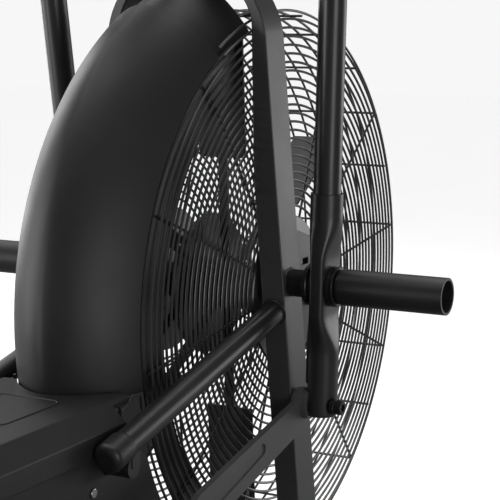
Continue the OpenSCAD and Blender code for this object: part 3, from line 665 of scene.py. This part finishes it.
low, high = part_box("saddle_cushion")
centre = (low + high) / 2
bm = bmesh.new()
bm.from_mesh(nodes["saddle_cushion"].data)
bmesh.ops.remove_doubles(bm, verts=bm.verts, dist=weld_distance)
for v in bm.verts:
    v.co.x = centre.x + (v.co.x - centre.x) * pad_shrink["x"]
    v.co.y = centre.y + (v.co.y - centre.y) * pad_shrink["y"]
    v.co.z = low.z + (v.co.z - low.z) * pad_shrink["z"]
cushion = from_bmesh("saddle_pad", bm, 180.0, weighted=False)
remesh = cushion.modifiers.new("voxels", "REMESH")
remesh.mode = "VOXEL"
remesh.voxel_size = voxel
applied(cushion)
simulated(cushion, pad_pressure, largest_shift, low.z + held_height)
for v in cushion.data.vertices:
    x = (v.co.x - centre.x) / ((high.x - low.x) / 2)
    y = (v.co.y - centre.y) / ((high.y - low.y) / 2)
    lift = max(0.0, (v.co.z - low.z) / (high.z - low.z))
    channel = math.exp(-(y / channel_width) ** 2) * max(0.0, 1 - abs(x) ** 2) * channel_depth
    v.co.z = max(low.z, v.co.z - lift * channel)
smooth = cushion.modifiers.new("smooth", "SMOOTH")
smooth.factor = 0.5
smooth.iterations = 4
finer = cushion.modifiers.new("finer", "SUBSURF")
finer.levels = 1
finer.render_levels = 1
applied(cushion)
cushion.data.shade_smooth()
placed(cushion, "saddle_cover", node_body["saddle_cushion"], ["saddle_cushion"])

pad_tree = BVHTree.FromPolygons([v.co for v in cushion.data.vertices],
                                [p.vertices for p in cushion.data.polygons])
outside_pad = 0.4


def around_pad(z, count, depth):
    """Points on the pad's side, all the way round at a height, and sunk into it by depth."""
    points = []
    for i in range(count):
        a = math.tau * i / count
        direction = Vector((math.cos(a), math.sin(a), 0))
        start = Vector((centre.x, centre.y, z)) + direction * outside_pad
        hit = pad_tree.ray_cast(start, -direction)
        if hit[0] is not None:
            points.append(hit[0] - direction * depth)
    return points


bm = bmesh.new()
piping_line = around_pad(low.z + piping["height"], piping["points"], piping["sunk"])
sweep(bm, piping_line, piping["radius"], 8, closed=True)
placed(from_bmesh("saddle_piping", bm), "saddle_cover", node_body["saddle_cushion"])
bm = bmesh.new()
stitch_line = around_pad(low.z + stitches["height"], stitches["points"], -stitches["proud"])
for i in range(0, len(stitch_line) - 1, 2):
    sweep(bm, [stitch_line[i], stitch_line[i + 1]], stitches["radius"], 6)
placed(from_bmesh("saddle_stitches", bm), "rubber", node_body["saddle_cushion"])

# ---------- studio ----------
floor_reach = 14.0
floor_seen, floor_bounced, floor_glow = 0.90, 0.22, 0.34
sky_seen, sky_bounced = 0.93, 0.16
floor_bm = bmesh.new()
bmesh.ops.create_grid(floor_bm, x_segments=8, y_segments=8, size=floor_reach)
floor = from_bmesh("studio_floor", floor_bm, weighted=False)
floor.location.z = -0.5 * mm
floor_material = surface("floor_paint", (floor_seen, floor_seen, floor_seen), 0.6, patch=3.0,
                         variation=0.01, grain=300.0, bump=0.02, specular=0.2)
floor.data.materials.append(floor_material)

world = bpy.data.worlds.new("studio")
bpy.context.scene.world = world
world.use_nodes = True
tree = world.node_tree
sky = tree.nodes["Background"]
sky.inputs["Color"].default_value = (1, 1, 1, 1)


def seen_or_bounced(tree, bounced, seen):
    """One value where the camera sees the studio itself, and another for light that it sends on."""
    path = tree.nodes.new("ShaderNodeLightPath")
    level = tree.nodes.new("ShaderNodeMapRange")
    level.inputs["To Min"].default_value = bounced
    level.inputs["To Max"].default_value = seen
    tree.links.new(path.outputs["Is Camera Ray"], level.inputs["Value"])
    return level.outputs["Result"]


tree.links.new(seen_or_bounced(tree, sky_bounced, sky_seen), sky.inputs["Strength"])
tree = floor_material.node_tree
floor_shader = tree.nodes["Principled BSDF"]
tree.links.new(seen_or_bounced(tree, floor_bounced, floor_seen), floor_shader.inputs["Base Color"])
floor_shader.inputs["Emission Color"].default_value = (1, 1, 1, 1)
tree.links.new(seen_or_bounced(tree, 0.0, floor_glow), floor_shader.inputs["Emission Strength"])

sun = bpy.data.lights.new("overhead", "SUN")
sun.energy = 1.7
sun.angle = math.radians(75)
sun_object = link_object(bpy.data.objects.new("overhead", sun))
sun_object.rotation_euler = (math.radians(-12), math.radians(10), 0)


def softbox(name, place, target, width, height, power):
    """A rectangular light turned towards a target, sizes in metres and power in watts."""
    light = bpy.data.lights.new(name, "AREA")
    light.shape = "RECTANGLE"
    light.size = width
    light.size_y = height
    light.energy = power
    obj = link_object(bpy.data.objects.new(name, light))
    obj.location = place
    obj.rotation_euler = (Vector(target) - Vector(place)).to_track_quat("-Z", "Y").to_euler()


softbox("front_right_box", (2.9, -1.7, 0.5), (0.25, -0.1, 0.5), 2.0, 1.6, 21)
softbox("right_rear_box", (-1.55, -2.6, 0.6), (-0.05, 0, 0.5), 1.3, 1.2, 17)
softbox("rear_left_box", (-2.5, 1.7, 0.6), (-0.1, 0, 0.5), 1.2, 1.3, 19)
softbox("left_box", (-0.7, 3.0, 0.8), (-0.1, 0, 0.5), 1.6, 1.6, 26)
softbox("front_left_box", (1.6, 2.8, 1.2), (0.1, 0, 0.5), 1.2, 2.0, 26)

# ---------- camera, behind and to the right of the wheel ----------
camera = link_object(bpy.data.objects.new("camera", bpy.data.cameras.new("camera")))
camera_from_wheel = Vector((-1.589, -0.883, 0.323))
camera.location = wheel + camera_from_wheel
ahead = Vector((0.8716, 0.4661, -0.1523)).normalized()
right = Vector((0.4716, -0.8818, 0.0)).normalized()
above = right.cross(ahead).normalized()
camera.rotation_mode = "QUATERNION"
camera.rotation_quaternion = Matrix((right, above, -ahead)).transposed().to_quaternion()
camera.data.sensor_width = 36.0
camera.data.lens = 105.98
bpy.context.scene.camera = camera
bpy.context.scene.view_settings.view_transform = "Standard"
